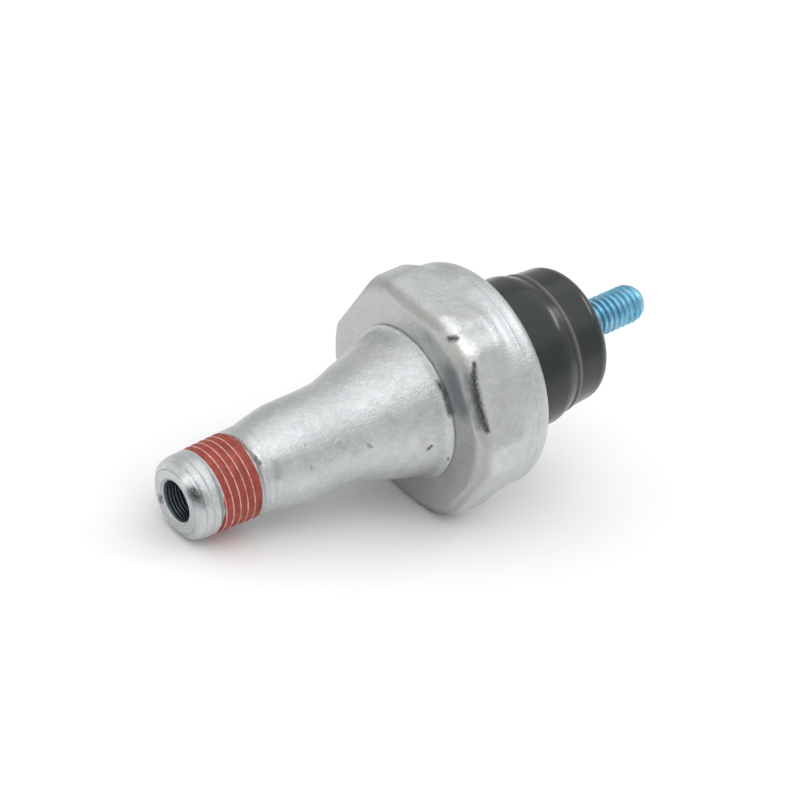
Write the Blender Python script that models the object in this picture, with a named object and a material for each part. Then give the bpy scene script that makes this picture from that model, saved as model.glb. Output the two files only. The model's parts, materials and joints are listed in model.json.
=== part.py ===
"""Oil pressure sender with a tapered pipe thread, a crimped hexagon shell and one insulated stud.

Every piece is built along one axis, from the tip of the pipe thread at height 0 to the end of
the terminal stud, and all of them hang on one empty. The empty lays the sender down the way it
rests on a table: on one hexagon flat and on the rim of its threaded tip. The origin is the
middle of the bottom of the whole object, +Z is up and the stud points to +X.
"""

import math

import bmesh
import bpy
from mathutils import Euler, Vector

MM = 0.001

# Facets
ROUND_STEPS = 48
SMALL_STEPS = 24
ARC_STEPS = 4
HEX_SIDES = 6
SMOOTH_ANGLE = math.radians(32)

# Clearances between pieces
SEAT_GAP = 0.3 * MM
FILM_GAP = 0.25 * MM

# Pipe thread, 1/8 inch with 27 threads to the inch and a taper of 1 in 16 on diameter
THREAD_TIP_DIAMETER = 9.90 * MM
THREAD_TAPER = 1.0 / 16.0
THREAD_DEPTH = 0.60 * MM
THREAD_LENGTH = 8.6 * MM
THREAD_RUNOUT = 1.0 * MM
TIP_FACE_DIAMETER = 7.3 * MM
TIP_CHAMFER = 1.5 * MM
TIP_CHAMFER_STEPS = ((0.62, 0.28), (0.9, 0.68))

# Dried sealant that fills the thread
SEALANT_START = 2.8 * MM
SEALANT_LENGTH = 4.8 * MM
SEALANT_END_GAP = 0.1 * MM

# Oil passage
BORE_DIAMETER = 4.84 * MM
BORE_DEPTH = 16.0 * MM
BORE_MOUTH_CHAMFER = 0.25 * MM
PASSAGE_DIAMETER = 2.4 * MM

# Neck between the thread and the hexagon shell
NECK_DIAMETER = 12.04 * MM
NECK_START = 15.2 * MM
NECK_STRAIGHT = 4.3 * MM
NECK_ENTRY_LENGTH = 1.0 * MM
NECK_ENTRY_DEPTH = 0.1 * MM
NECK_BLEND = 4.0 * MM
NECK_BASE_DIAMETER = 17.4 * MM
SHOULDER_DIAMETER = 18.7 * MM
SHOULDER_FLARE = 0.9 * MM
SHOULDER_EDGE = 0.2 * MM
NECK_LENGTH = 31.7 * MM

# Hexagon shell, a cup that is crimped over the cap
ACROSS_FLATS = 27.0 * MM
CORNER_RISE = 1.1 * MM
CORNER_FRONT_ROUND = 2.2 * MM
FLAT_FRONT_DROP = 0.95 * MM
FLAT_FRONT_LENGTH = 2.4 * MM
SHELL_HEX_LENGTH = 8.5 * MM
CORNER_FADE_START = 2.9 * MM
CORNER_FADE_END = 1.1 * MM
RIM_RISE = 0.08 * MM
RIM_ROUND = 2.6 * MM
SHELL_FRONT_WALL = 1.5 * MM
SHELL_SIDE_WALL = 1.3 * MM
SHELL_LIP_WALL = 1.0 * MM

# Swaged collar that holds the port body in the shell
SPIGOT_DIAMETER = 15.6 * MM
SWAGE_THICKNESS = 1.0 * MM
SWAGE_BEVEL = 0.4 * MM

# Pressure stack inside the shell
GASKET_THICKNESS = 1.4 * MM
GASKET_WIDTH = 1.9 * MM
DIAPHRAGM_THICKNESS = 0.5 * MM
DIAPHRAGM_FOLD_RADIUS = 8.6 * MM
DIAPHRAGM_FOLD_WIDTH = 1.2 * MM
DIAPHRAGM_FOLD_HEIGHT = 0.35 * MM
CLAMP_RING_THICKNESS = 1.7 * MM
CLAMP_RING_WIDTH = 2.2 * MM
PLATE_DIAMETER = 14.0 * MM
PLATE_THICKNESS = 0.8 * MM
PLATE_RIM_HEIGHT = 0.2 * MM
PIN_DIAMETER = 4.0 * MM
PIN_HEAD_DIAMETER = 7.0 * MM
PIN_HEAD_THICKNESS = 0.5 * MM
GROUND_RING_THICKNESS = 0.6 * MM
GROUND_RING_BORE = 9.0 * MM
CONTACT_DIAMETER = 12.4 * MM
CONTACT_THICKNESS = 0.6 * MM
CONTACT_BOSS_DIAMETER = 4.2 * MM
CONTACT_BOSS_HEIGHT = 0.7 * MM
CONTACT_BOSS_BEVEL = 0.2 * MM

# Contact spring
SPRING_WIRE = 0.5 * MM
SPRING_DIAMETER = 5.8 * MM
SPRING_LENGTH = 4.0 * MM
SPRING_TURNS = 3
SPRING_COIL_GAP = 0.12 * MM
SPRING_STEPS = 16

# Insulating cap
FLANGE_THICKNESS = 2.4 * MM
FLANGE_WIDTH = 2.75 * MM
COLLAR_LENGTH = 7.0 * MM
GROOVE_LENGTH = 2.5 * MM
HEAD_DIAMETER = 16.84 * MM
HEAD_END_DIAMETER = 16.44 * MM
HEAD_LENGTH = 5.0 * MM
HEAD_ROUND = 2.0 * MM
CAVITY_DIAMETER = 15.0 * MM
CAP_SEAL_WIDTH = 1.5 * MM
CAP_SEAL_THICKNESS = 0.5 * MM

# Terminal stud with a moulded-in collar and an inner head
STUD_DIAMETER = 4.66 * MM
STUD_REACH = 10.7 * MM
STUD_POINT = 1.2 * MM
STUD_POINT_DIAMETER = 2.6 * MM
STUD_POINT_STEPS = ((0.35, 0.5), (1.0, 0.875))
STUD_HEAD_DIAMETER = 8.4 * MM
STUD_HEAD_THICKNESS = 1.2 * MM
KNURL_DIAMETER = 7.0 * MM
KNURL_SETBACK = 2.9 * MM
KNURL_LENGTH = 3.4 * MM
KNURL_TEETH = 16
KNURL_DEPTH = 0.35 * MM
SEAT_CUP_THICKNESS = 0.5 * MM
SEAT_CUP_LIP = 0.9 * MM

# Heights that follow from the sizes above
SHELL_FRONT = NECK_LENGTH + SEAT_GAP
SHELL_FLOOR = SHELL_FRONT + SHELL_FRONT_WALL
SWAGE_START = SHELL_FLOOR + SEAT_GAP
SWAGE_END = SWAGE_START + SWAGE_THICKNESS
GASKET_START = SHELL_FLOOR + SEAT_GAP
GASKET_END = GASKET_START + GASKET_THICKNESS
DIAPHRAGM_START = GASKET_END + SEAT_GAP
DIAPHRAGM_END = DIAPHRAGM_START + DIAPHRAGM_THICKNESS
CLAMP_RING_START = DIAPHRAGM_END + SEAT_GAP
CLAMP_RING_END = CLAMP_RING_START + CLAMP_RING_THICKNESS
PLATE_START = DIAPHRAGM_END + SEAT_GAP
PLATE_END = PLATE_START + PLATE_THICKNESS
PIN_START = PLATE_END + SEAT_GAP
GROUND_RING_START = CLAMP_RING_END + SEAT_GAP
GROUND_RING_END = GROUND_RING_START + GROUND_RING_THICKNESS
CONTACT_START = GROUND_RING_END + SEAT_GAP
CONTACT_END = CONTACT_START + CONTACT_THICKNESS
PIN_END = CONTACT_START - SEAT_GAP
FLANGE_START = GROUND_RING_END + SEAT_GAP
FLANGE_END = FLANGE_START + FLANGE_THICKNESS
CAP_SEAL_START = FLANGE_END + SEAT_GAP / 2
CAP_SEAL_END = CAP_SEAL_START + CAP_SEAL_THICKNESS
SHELL_LIP_FACE = CAP_SEAL_END + SEAT_GAP / 2
SHELL_END = SHELL_LIP_FACE + SHELL_LIP_WALL
SPRING_START = CONTACT_END + SEAT_GAP
SPRING_END = SPRING_START + SPRING_LENGTH
SEAT_CUP_START = SPRING_END + SEAT_GAP
SEAT_CUP_END = SEAT_CUP_START + SEAT_CUP_THICKNESS
STUD_HEAD_START = SEAT_CUP_END + SEAT_GAP
STUD_HEAD_END = STUD_HEAD_START + STUD_HEAD_THICKNESS
CAVITY_END = STUD_HEAD_END + SEAT_GAP
KNURL_START = CAVITY_END + KNURL_SETBACK
COLLAR_END = FLANGE_END + COLLAR_LENGTH
GROOVE_END = COLLAR_END + GROOVE_LENGTH
CAP_END = GROOVE_END + HEAD_LENGTH
STUD_END = CAP_END + STUD_REACH

# Radii that follow from the sizes above
FLAT_RADIUS = ACROSS_FLATS / 2
CORNER_RADIUS = FLAT_RADIUS + CORNER_RISE
RIM_RADIUS = FLAT_RADIUS + RIM_RISE
SHELL_INNER_RADIUS = FLAT_RADIUS - SHELL_SIDE_WALL
STACK_RADIUS = SHELL_INNER_RADIUS - SEAT_GAP
GASKET_INNER_RADIUS = STACK_RADIUS - GASKET_WIDTH
SWAGE_RADIUS = GASKET_INNER_RADIUS - SEAT_GAP
COLLAR_RADIUS = STACK_RADIUS - FLANGE_WIDTH
COLLAR_HOLE_RADIUS = COLLAR_RADIUS + SEAT_GAP


def clear_scene():
    for old in list(bpy.data.objects):
        bpy.data.objects.remove(old, do_unlink=True)


def material(name, colour, roughness, metallic):
    made = bpy.data.materials.new(name)
    made.use_nodes = True
    shader = made.node_tree.nodes["Principled BSDF"]
    shader.inputs["Base Color"].default_value = (*colour, 1.0)
    shader.inputs["Roughness"].default_value = roughness
    shader.inputs["Metallic"].default_value = metallic
    return made


def arc(centre_radius, centre_height, size, start, end, steps=ARC_STEPS):
    """Points of an arc as (radius, height), with angles in degrees from the outward radius."""
    points = []
    for step in range(steps + 1):
        angle = math.radians(start + (end - start) * step / steps)
        points.append((centre_radius + size * math.cos(angle), centre_height + size * math.sin(angle)))
    return points


def smooth_step(start, end, steps):
    """Points from one (radius, height) to another along an S curve, both ends parallel to the axis."""
    points = []
    for step in range(steps + 1):
        share = step / steps
        eased = share * share * (3 - 2 * share)
        points.append((start[0] + (end[0] - start[0]) * eased, start[1] + (end[1] - start[1]) * share))
    return points


def add_object(name, mesh, finish, parent):
    made = bpy.data.objects.new(name, mesh)
    bpy.context.scene.collection.objects.link(made)
    made.parent = parent
    made.data.materials.append(finish)
    return made


def turned(name, profile, finish, parent, steps=ROUND_STEPS):
    """A turned piece from a closed outline of (radius, height) points, spun round the local Z axis."""
    shape = bmesh.new()
    points = [shape.verts.new((radius, 0.0, height)) for radius, height in profile]
    edges = [shape.edges.new((a, b)) for a, b in zip(points, points[1:] + points[:1])]
    bmesh.ops.spin(
        shape, geom=points + edges, cent=(0, 0, 0), axis=(0, 0, 1), angle=2 * math.pi, steps=steps
    )
    bmesh.ops.remove_doubles(shape, verts=shape.verts, dist=0.001 * MM)
    bmesh.ops.dissolve_degenerate(shape, edges=shape.edges, dist=0.0005 * MM)
    loose = [face for face in shape.faces if face.calc_area() < 1e-14]
    bmesh.ops.delete(shape, geom=loose, context="FACES")
    bmesh.ops.recalc_face_normals(shape, faces=shape.faces)
    mesh = bpy.data.meshes.new(name)
    shape.to_mesh(mesh)
    shape.free()
    mesh.shade_smooth()
    mesh.set_sharp_from_angle(angle=SMOOTH_ANGLE)
    return add_object(name, mesh, finish, parent)


def cutter(name, mesh, parent):
    made = bpy.data.objects.new(name, mesh)
    bpy.context.scene.collection.objects.link(made)
    made.parent = parent
    made.hide_render = True
    made.display_type = "WIRE"
    return made


def boolean(target, tool, operation):
    change = target.modifiers.new(operation.lower(), "BOOLEAN")
    change.operation = operation
    change.solver = "EXACT"
    change.object = tool


def thread_radius(height):
    """Crest radius of the tapered thread at a height above the tip."""
    return (THREAD_TIP_DIAMETER + (height - TIP_CHAMFER) * THREAD_TAPER) / 2


def port_outline():
    """Outer side of the port body as (radius, height) points from the tip face to the shoulder."""
    tip = TIP_FACE_DIAMETER / 2
    crest = thread_radius(TIP_CHAMFER)
    rise = crest - tip
    groove_start = SEALANT_START - SEALANT_END_GAP
    groove_end = SEALANT_START + SEALANT_LENGTH + SEALANT_END_GAP
    neck = NECK_DIAMETER / 2
    neck_end = NECK_START + NECK_STRAIGHT
    base = NECK_BASE_DIAMETER / 2
    cone_end = NECK_LENGTH - SHOULDER_FLARE
    slope = (base - neck) / (cone_end - neck_end - NECK_BLEND / 2)
    blend_rise = slope * NECK_BLEND / 2
    points = [(tip, 0.0)] + [(tip + rise * out, TIP_CHAMFER * up) for out, up in TIP_CHAMFER_STEPS]
    points += [(crest, TIP_CHAMFER), (thread_radius(groove_start), groove_start)]
    points += [(thread_radius(groove_start) - THREAD_DEPTH, groove_start)]
    points.append((thread_radius(groove_end) - THREAD_DEPTH, groove_end))
    points.append((thread_radius(groove_end), groove_end))
    last_turn = thread_radius(THREAD_LENGTH)
    points += [(last_turn, THREAD_LENGTH), (last_turn, THREAD_LENGTH + THREAD_RUNOUT)]
    points.append((neck - NECK_ENTRY_DEPTH, NECK_START - NECK_ENTRY_LENGTH))
    points += [(neck, NECK_START), (neck, neck_end)]
    for step in range(1, ARC_STEPS + 1):
        share = step / ARC_STEPS
        points.append((neck + blend_rise * share * share, neck_end + NECK_BLEND * share))
    shoulder = SHOULDER_DIAMETER / 2
    flare_end = NECK_LENGTH - SHOULDER_EDGE
    for step in range(ARC_STEPS + 1):
        share = step / ARC_STEPS
        height = cone_end + (flare_end - cone_end) * share
        points.append((base + (shoulder - base) * share * share, height))
    points.append((shoulder, NECK_LENGTH))
    return points


def shell_outline():
    """Outer side of the shell before its flats are pressed, from the front face to the rolled rim."""
    size = CORNER_FRONT_ROUND
    points = arc(CORNER_RADIUS - size, SHELL_FRONT + size, size, -90, 0)
    hex_end = SHELL_FRONT + SHELL_HEX_LENGTH
    fade_start = (CORNER_RADIUS, hex_end - CORNER_FADE_START)
    points += smooth_step(fade_start, (RIM_RADIUS, hex_end - CORNER_FADE_END), ARC_STEPS)
    points += arc(RIM_RADIUS - RIM_ROUND, SHELL_END - RIM_ROUND, RIM_ROUND, 0, 90)
    return points


def flat_outline():
    """Distance of the pressed flats from the axis at each height: a curved slant leads into them."""
    points = []
    for step in range(ARC_STEPS + 1):
        left = 1 - step / ARC_STEPS
        height = SHELL_FRONT + FLAT_FRONT_LENGTH * (1 - left)
        points.append((FLAT_RADIUS - FLAT_FRONT_DROP * left * left, height))
    hex_end = SHELL_FRONT + SHELL_HEX_LENGTH
    clear = RIM_RADIUS + RIM_RISE
    points += [(FLAT_RADIUS, hex_end), (clear, hex_end + RIM_ROUND / 4)]
    points.append((clear, SHELL_END + MM))
    return points


def shell_inside():
    """Inner side of the shell, from the lip back to the hole in its front wall."""
    hole = SPIGOT_DIAMETER / 2 + SEAT_GAP
    inner_round = RIM_ROUND - SHELL_LIP_WALL
    points = [(COLLAR_HOLE_RADIUS, SHELL_END), (COLLAR_HOLE_RADIUS, SHELL_LIP_FACE)]
    points += [(SHELL_INNER_RADIUS - inner_round / 2, SHELL_LIP_FACE)]
    points += [(SHELL_INNER_RADIUS, SHELL_LIP_FACE - inner_round / 2)]
    points += [(SHELL_INNER_RADIUS, SHELL_FLOOR), (hole, SHELL_FLOOR), (hole, SHELL_FRONT)]
    return points


def make_port_body(finish, parent):
    bore = BORE_DIAMETER / 2
    passage = PASSAGE_DIAMETER / 2
    spigot = SPIGOT_DIAMETER / 2
    profile = [(bore + BORE_MOUTH_CHAMFER, 0.0)] + port_outline()
    profile += [(spigot, NECK_LENGTH), (spigot, SWAGE_START), (SWAGE_RADIUS, SWAGE_START)]
    profile += [(SWAGE_RADIUS, SWAGE_END - SWAGE_BEVEL), (SWAGE_RADIUS - SWAGE_BEVEL, SWAGE_END)]
    profile += [(passage, SWAGE_END), (passage, BORE_DEPTH + bore - passage), (bore, BORE_DEPTH)]
    profile += [(bore, BORE_MOUTH_CHAMFER)]
    return turned("port_body", profile, finish, parent)


def make_thread_sealant(finish, parent):
    start = SEALANT_START
    end = SEALANT_START + SEALANT_LENGTH
    profile = []
    for height, shift in ((start, 0.0), (end, 0.0), (end, 1.0), (start, 1.0)):
        radius = thread_radius(height) - shift * (THREAD_DEPTH - FILM_GAP)
        profile.append((radius, height))
    return turned("thread_sealant", profile, finish, parent)


def make_hex_shell(finish, parent):
    shell = turned("hex_shell", shell_outline() + shell_inside(), finish, parent)
    shape = bmesh.new()
    outline = flat_outline()
    outline = [(outline[0][0], outline[0][1] - MM)] + outline[1:]
    rings = []
    for flat, height in outline:
        reach = flat / math.cos(math.pi / HEX_SIDES)
        ring = []
        for step in range(HEX_SIDES):
            angle = (2 * step + 1) * math.pi / HEX_SIDES
            ring.append(shape.verts.new((reach * math.cos(angle), reach * math.sin(angle), height)))
        rings.append(ring)
    for low, high in zip(rings, rings[1:]):
        for step in range(HEX_SIDES):
            after = (step + 1) % HEX_SIDES
            shape.faces.new((low[step], low[after], high[after], high[step]))
    shape.faces.new(rings[0])
    shape.faces.new(rings[-1])
    bmesh.ops.recalc_face_normals(shape, faces=shape.faces)
    mesh = bpy.data.meshes.new("pressed_hexagon")
    shape.to_mesh(mesh)
    shape.free()
    boolean(shell, cutter("pressed_hexagon", mesh, parent), "INTERSECT")
    return shell


def ring_profile(inner, outer, start, end):
    return [(outer, start), (outer, end), (inner, end), (inner, start)]


def make_gasket(finish, parent):
    profile = ring_profile(GASKET_INNER_RADIUS, STACK_RADIUS, GASKET_START, GASKET_END)
    return turned("shell_gasket", profile, finish, parent, SMALL_STEPS)


def make_diaphragm(finish, parent):
    """A disc with one raised fold, so that its middle can move."""
    low = []
    fold = DIAPHRAGM_FOLD_RADIUS
    half = DIAPHRAGM_FOLD_WIDTH / 2
    for share in (-1.0, -0.5, 0.0, 0.5, 1.0):
        low.append((fold + half * share, DIAPHRAGM_FOLD_HEIGHT * math.cos(share * math.pi / 2)))
    bottom = [(0.0, 0.0)] + low + [(STACK_RADIUS, 0.0)]
    profile = [(radius, DIAPHRAGM_START - lift) for radius, lift in bottom]
    profile += [(radius, DIAPHRAGM_END - lift) for radius, lift in reversed(bottom)]
    return turned("diaphragm", profile, finish, parent, SMALL_STEPS)


def make_clamp_ring(finish, parent):
    inner = STACK_RADIUS - CLAMP_RING_WIDTH
    profile = ring_profile(inner, STACK_RADIUS, CLAMP_RING_START, CLAMP_RING_END)
    return turned("clamp_ring", profile, finish, parent, SMALL_STEPS)


def make_pressure_plate(finish, parent):
    """A shallow cup that lies on the diaphragm and carries the foot of the push pin."""
    outer = PLATE_DIAMETER / 2
    inner = outer - PLATE_THICKNESS
    rim = PLATE_END + PLATE_RIM_HEIGHT
    profile = [(0.0, PLATE_START), (outer - PLATE_THICKNESS / 2, PLATE_START)]
    profile += [(outer, PLATE_START + PLATE_THICKNESS / 2), (outer, rim), (inner, rim)]
    profile += [(inner, PLATE_END), (0.0, PLATE_END)]
    return turned("pressure_plate", profile, finish, parent, SMALL_STEPS)


def make_push_pin(finish, parent):
    head = PIN_HEAD_DIAMETER / 2
    stem = PIN_DIAMETER / 2
    profile = [(0.0, PIN_START), (head, PIN_START), (head, PIN_START + PIN_HEAD_THICKNESS)]
    profile += [(stem, PIN_START + PIN_HEAD_THICKNESS), (stem, PIN_END), (0.0, PIN_END)]
    return turned("push_pin", profile, finish, parent, SMALL_STEPS)


def make_ground_ring(finish, parent):
    profile = ring_profile(GROUND_RING_BORE / 2, STACK_RADIUS, GROUND_RING_START, GROUND_RING_END)
    return turned("ground_contact", profile, finish, parent, SMALL_STEPS)


def make_contact_disc(finish, parent):
    """The moving contact, with a boss that centres the spring."""
    outer = CONTACT_DIAMETER / 2
    boss = CONTACT_BOSS_DIAMETER / 2
    top = CONTACT_END + CONTACT_BOSS_HEIGHT
    profile = [(0.0, CONTACT_START), (outer, CONTACT_START), (outer, CONTACT_END), (boss, CONTACT_END)]
    profile += [(boss, top - CONTACT_BOSS_BEVEL), (boss - CONTACT_BOSS_BEVEL, top), (0.0, top)]
    return turned("contact_disc", profile, finish, parent, SMALL_STEPS)


def make_contact_spring(finish, parent):
    """A round wire coil between the contact disc and the seat cup, with a closed turn at each end."""
    radius = (SPRING_DIAMETER - SPRING_WIRE) / 2
    low = SPRING_START + SPRING_WIRE / 2
    high = SPRING_END - SPRING_WIRE / 2
    closed = SPRING_WIRE + SPRING_COIL_GAP
    turns = SPRING_TURNS + 2
    total = turns * SPRING_STEPS
    curve = bpy.data.curves.new("contact_spring", "CURVE")
    curve.dimensions = "3D"
    curve.bevel_depth = SPRING_WIRE / 2
    curve.bevel_resolution = 1
    curve.use_fill_caps = True
    line = curve.splines.new("POLY")
    line.points.add(total)
    for index in range(total + 1):
        turn = index / SPRING_STEPS
        if turn <= 1:
            height = low + closed * turn
        elif turn >= turns - 1:
            height = high - closed * (turns - turn)
        else:
            height = low + closed + (high - low - 2 * closed) * (turn - 1) / SPRING_TURNS
        angle = 2 * math.pi * turn
        line.points[index].co = (radius * math.cos(angle), radius * math.sin(angle), height, 1.0)
    made = bpy.data.objects.new("contact_spring", curve)
    bpy.context.scene.collection.objects.link(made)
    made.parent = parent
    curve.materials.append(finish)
    return made


def make_spring_seat(finish, parent):
    """A small cup under the stud's inner head that centres the spring."""
    inner = SPRING_DIAMETER / 2 + SEAT_GAP
    outer = inner + SEAT_CUP_THICKNESS
    lip = SEAT_CUP_START - SEAT_CUP_LIP
    profile = [(0.0, SEAT_CUP_START), (inner, SEAT_CUP_START), (inner, lip), (outer, lip)]
    profile += [(outer, SEAT_CUP_END), (0.0, SEAT_CUP_END)]
    return turned("spring_seat", profile, finish, parent, SMALL_STEPS)


def cap_outline():
    """Outer side of the insulating cap, from its flange to the face round the stud."""
    head = HEAD_DIAMETER / 2
    end = HEAD_END_DIAMETER / 2
    points = [(STACK_RADIUS, FLANGE_START), (STACK_RADIUS, FLANGE_END), (COLLAR_RADIUS, FLANGE_END)]
    points += smooth_step((COLLAR_RADIUS, COLLAR_END), (head, GROOVE_END), ARC_STEPS + 3)
    points += arc(end - HEAD_ROUND, CAP_END - HEAD_ROUND, HEAD_ROUND, 0, 90, ARC_STEPS + 2)
    return points


def make_insulator_cap(finish, parent):
    cavity = CAVITY_DIAMETER / 2
    hole = STUD_DIAMETER / 2 + SEAT_GAP
    pocket = KNURL_DIAMETER / 2 + SEAT_GAP
    pocket_start = KNURL_START - SEAT_GAP
    pocket_end = KNURL_START + KNURL_LENGTH + SEAT_GAP
    profile = cap_outline()
    profile += [(hole, CAP_END), (hole, pocket_end), (pocket, pocket_end), (pocket, pocket_start)]
    profile += [(hole, pocket_start), (hole, CAVITY_END), (cavity, CAVITY_END), (cavity, FLANGE_START)]
    return turned("insulator_cap", profile, finish, parent)


def make_cap_seal(finish, parent):
    """A flat weather seal between the cap's flange and the crimped lip."""
    outer = COLLAR_HOLE_RADIUS + CAP_SEAL_WIDTH
    profile = ring_profile(COLLAR_HOLE_RADIUS, outer, CAP_SEAL_START, CAP_SEAL_END)
    return turned("cap_seal", profile, finish, parent, SMALL_STEPS)


def make_terminal_stud(finish, parent):
    """The stud, with an inner head that the seat cup touches and a knurled collar in the cap."""
    thread = STUD_DIAMETER / 2
    head = STUD_HEAD_DIAMETER / 2
    point = STUD_POINT_DIAMETER / 2
    profile = [(0.0, STUD_HEAD_START), (head, STUD_HEAD_START)]
    profile += [(head, STUD_HEAD_END), (thread, STUD_HEAD_END)]
    profile.append((thread, STUD_END - STUD_POINT))
    for inward, along in STUD_POINT_STEPS:
        profile.append((thread - (thread - point) * inward, STUD_END - STUD_POINT * (1 - along)))
    profile.append((0.0, STUD_END))
    stud = turned("terminal_stud", profile, finish, parent, SMALL_STEPS)
    shape = bmesh.new()
    outline = []
    for step in range(2 * KNURL_TEETH):
        radius = KNURL_DIAMETER / 2 - KNURL_DEPTH * (step % 2)
        angle = math.pi * step / KNURL_TEETH
        outline.append(shape.verts.new((radius * math.cos(angle), radius * math.sin(angle), KNURL_START)))
    base = shape.faces.new(outline)
    grown = bmesh.ops.extrude_face_region(shape, geom=[base])
    moved = [item for item in grown["geom"] if isinstance(item, bmesh.types.BMVert)]
    bmesh.ops.translate(shape, verts=moved, vec=(0, 0, KNURL_LENGTH))
    bmesh.ops.recalc_face_normals(shape, faces=shape.faces)
    mesh = bpy.data.meshes.new("knurled_collar")
    shape.to_mesh(mesh)
    shape.free()
    boolean(stud, cutter("knurled_collar", mesh, parent), "UNION")
    return stud


def local_points(piece):
    """Corners of a finished piece in the frame of the sender's axis."""
    seen = piece.evaluated_get(bpy.context.evaluated_depsgraph_get())
    mesh = seen.to_mesh()
    points = [vertex.co.copy() for vertex in mesh.vertices]
    seen.to_mesh_clear()
    return points


def rest_tilt(port, shell):
    """Angle of the axis when the sender lies on its tip and on the flat that faces local +X."""
    bpy.context.view_layer.update()
    tip = [point for point in local_points(port) if point.x > 0 and point.z <= THREAD_LENGTH]
    side = [point for point in local_points(shell) if point.x > 0]
    steepest = []
    for low in tip:
        steepest.append(max(math.atan2(far.x - low.x, far.z - low.z) for far in side))
    return min(steepest)


def lay_down(axis, tilt):
    """Tilts the axis to its rest and puts the origin at the middle of the bottom of the object."""
    axis.rotation_euler = Euler((0.0, math.pi / 2 - tilt, 0.0))
    bpy.context.view_layer.update()
    graph = bpy.context.evaluated_depsgraph_get()
    low = Vector((math.inf,) * 3)
    high = Vector((-math.inf,) * 3)
    for piece in bpy.context.scene.objects:
        if piece.type not in ("MESH", "CURVE") or piece.hide_render:
            continue
        seen = piece.evaluated_get(graph)
        mesh = seen.to_mesh()
        for vertex in mesh.vertices:
            place = seen.matrix_world @ vertex.co
            low = Vector(map(min, low, place))
            high = Vector(map(max, high, place))
        seen.to_mesh_clear()
    axis.location = (-(low.x + high.x) / 2, -(low.y + high.y) / 2, -low.z)
    bpy.context.view_layer.update()


def main():
    clear_scene()
    axis = bpy.data.objects.new("sender_axis", None)
    bpy.context.scene.collection.objects.link(axis)
    zinc = material("zinc_plated_steel", (0.56, 0.58, 0.59), 0.38, 0.95)
    shell_zinc = material("zinc_plated_shell", (0.54, 0.56, 0.58), 0.40, 0.95)
    sealant = material("red_sealant", (0.37, 0.07, 0.05), 0.62, 0.0)
    plastic = material("black_plastic", (0.035, 0.04, 0.04), 0.32, 0.0)
    blue_zinc = material("blue_zinc", (0.12, 0.38, 0.62), 0.28, 0.9)
    rubber = material("black_rubber", (0.02, 0.02, 0.02), 0.7, 0.0)
    seal_rubber = material("seal_rubber", (0.03, 0.03, 0.03), 0.72, 0.0)
    film = material("diaphragm_film", (0.45, 0.22, 0.06), 0.45, 0.0)
    ring_steel = material("clamp_ring_steel", (0.5, 0.5, 0.5), 0.42, 1.0)
    plate_steel = material("pressure_plate_steel", (0.55, 0.55, 0.56), 0.4, 1.0)
    nylon = material("natural_nylon", (0.75, 0.72, 0.62), 0.5, 0.0)
    brass = material("ground_brass", (0.72, 0.52, 0.2), 0.35, 1.0)
    contact = material("silvered_contact", (0.8, 0.79, 0.75), 0.3, 1.0)
    spring = material("spring_steel", (0.35, 0.35, 0.36), 0.35, 1.0)
    seat_brass = material("seat_brass", (0.7, 0.5, 0.2), 0.38, 1.0)
    port = make_port_body(zinc, axis)
    make_thread_sealant(sealant, axis)
    shell = make_hex_shell(shell_zinc, axis)
    make_gasket(rubber, axis)
    make_diaphragm(film, axis)
    make_clamp_ring(ring_steel, axis)
    make_pressure_plate(plate_steel, axis)
    make_push_pin(nylon, axis)
    make_ground_ring(brass, axis)
    make_contact_disc(contact, axis)
    make_contact_spring(spring, axis)
    make_spring_seat(seat_brass, axis)
    make_insulator_cap(plastic, axis)
    make_cap_seal(seal_rubber, axis)
    make_terminal_stud(blue_zinc, axis)
    lay_down(axis, rest_tilt(port, shell))


main()
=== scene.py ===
"""Oil pressure sender: the dressed model, laid on a pale floor under soft studio light.

Every piece is built along the sender's own axis, from the tip of the pipe thread at height 0 to
the end of the terminal stud, with sizes in mm. AXIS then lays it down where the frame has it.
"""

import json
import math

import bpy
import numpy as np
from mathutils import Matrix, Vector


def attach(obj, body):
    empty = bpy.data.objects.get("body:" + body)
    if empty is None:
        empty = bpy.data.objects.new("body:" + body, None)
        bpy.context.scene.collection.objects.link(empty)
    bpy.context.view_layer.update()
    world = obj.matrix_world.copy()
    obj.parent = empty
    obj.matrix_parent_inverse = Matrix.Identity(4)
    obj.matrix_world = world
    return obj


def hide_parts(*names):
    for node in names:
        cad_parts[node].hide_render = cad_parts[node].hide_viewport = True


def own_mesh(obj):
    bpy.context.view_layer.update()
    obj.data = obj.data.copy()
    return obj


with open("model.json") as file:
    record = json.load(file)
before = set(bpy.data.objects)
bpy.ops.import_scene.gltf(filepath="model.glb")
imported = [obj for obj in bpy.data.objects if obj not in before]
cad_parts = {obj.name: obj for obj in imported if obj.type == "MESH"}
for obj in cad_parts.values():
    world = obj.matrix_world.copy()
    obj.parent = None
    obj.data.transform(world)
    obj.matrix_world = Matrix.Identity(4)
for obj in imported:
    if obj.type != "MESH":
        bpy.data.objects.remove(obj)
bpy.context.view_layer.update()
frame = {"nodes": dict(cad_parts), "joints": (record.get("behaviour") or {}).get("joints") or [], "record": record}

MM = 0.001


def named(rows, name):
    return next(row for row in rows if row["name"] == name)


# The sender's axis runs along the contact joint's axis and through the middle of the pipe thread
THREAD_MOUNT_HEIGHT = 5.0
ALONG = Vector(named(frame["joints"], "contact_slide")["axis"]).normalized()
THREAD_MOUNT = Vector(named(frame["record"]["mounts"], "pipe_thread")["pos_m"])
TIP = THREAD_MOUNT - ALONG * THREAD_MOUNT_HEIGHT * MM
TILT = math.atan2(ALONG.z, ALONG.x)
AXIS = Matrix.Translation(TIP) @ Matrix.Rotation(math.pi / 2 - TILT, 4, "Y")

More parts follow.
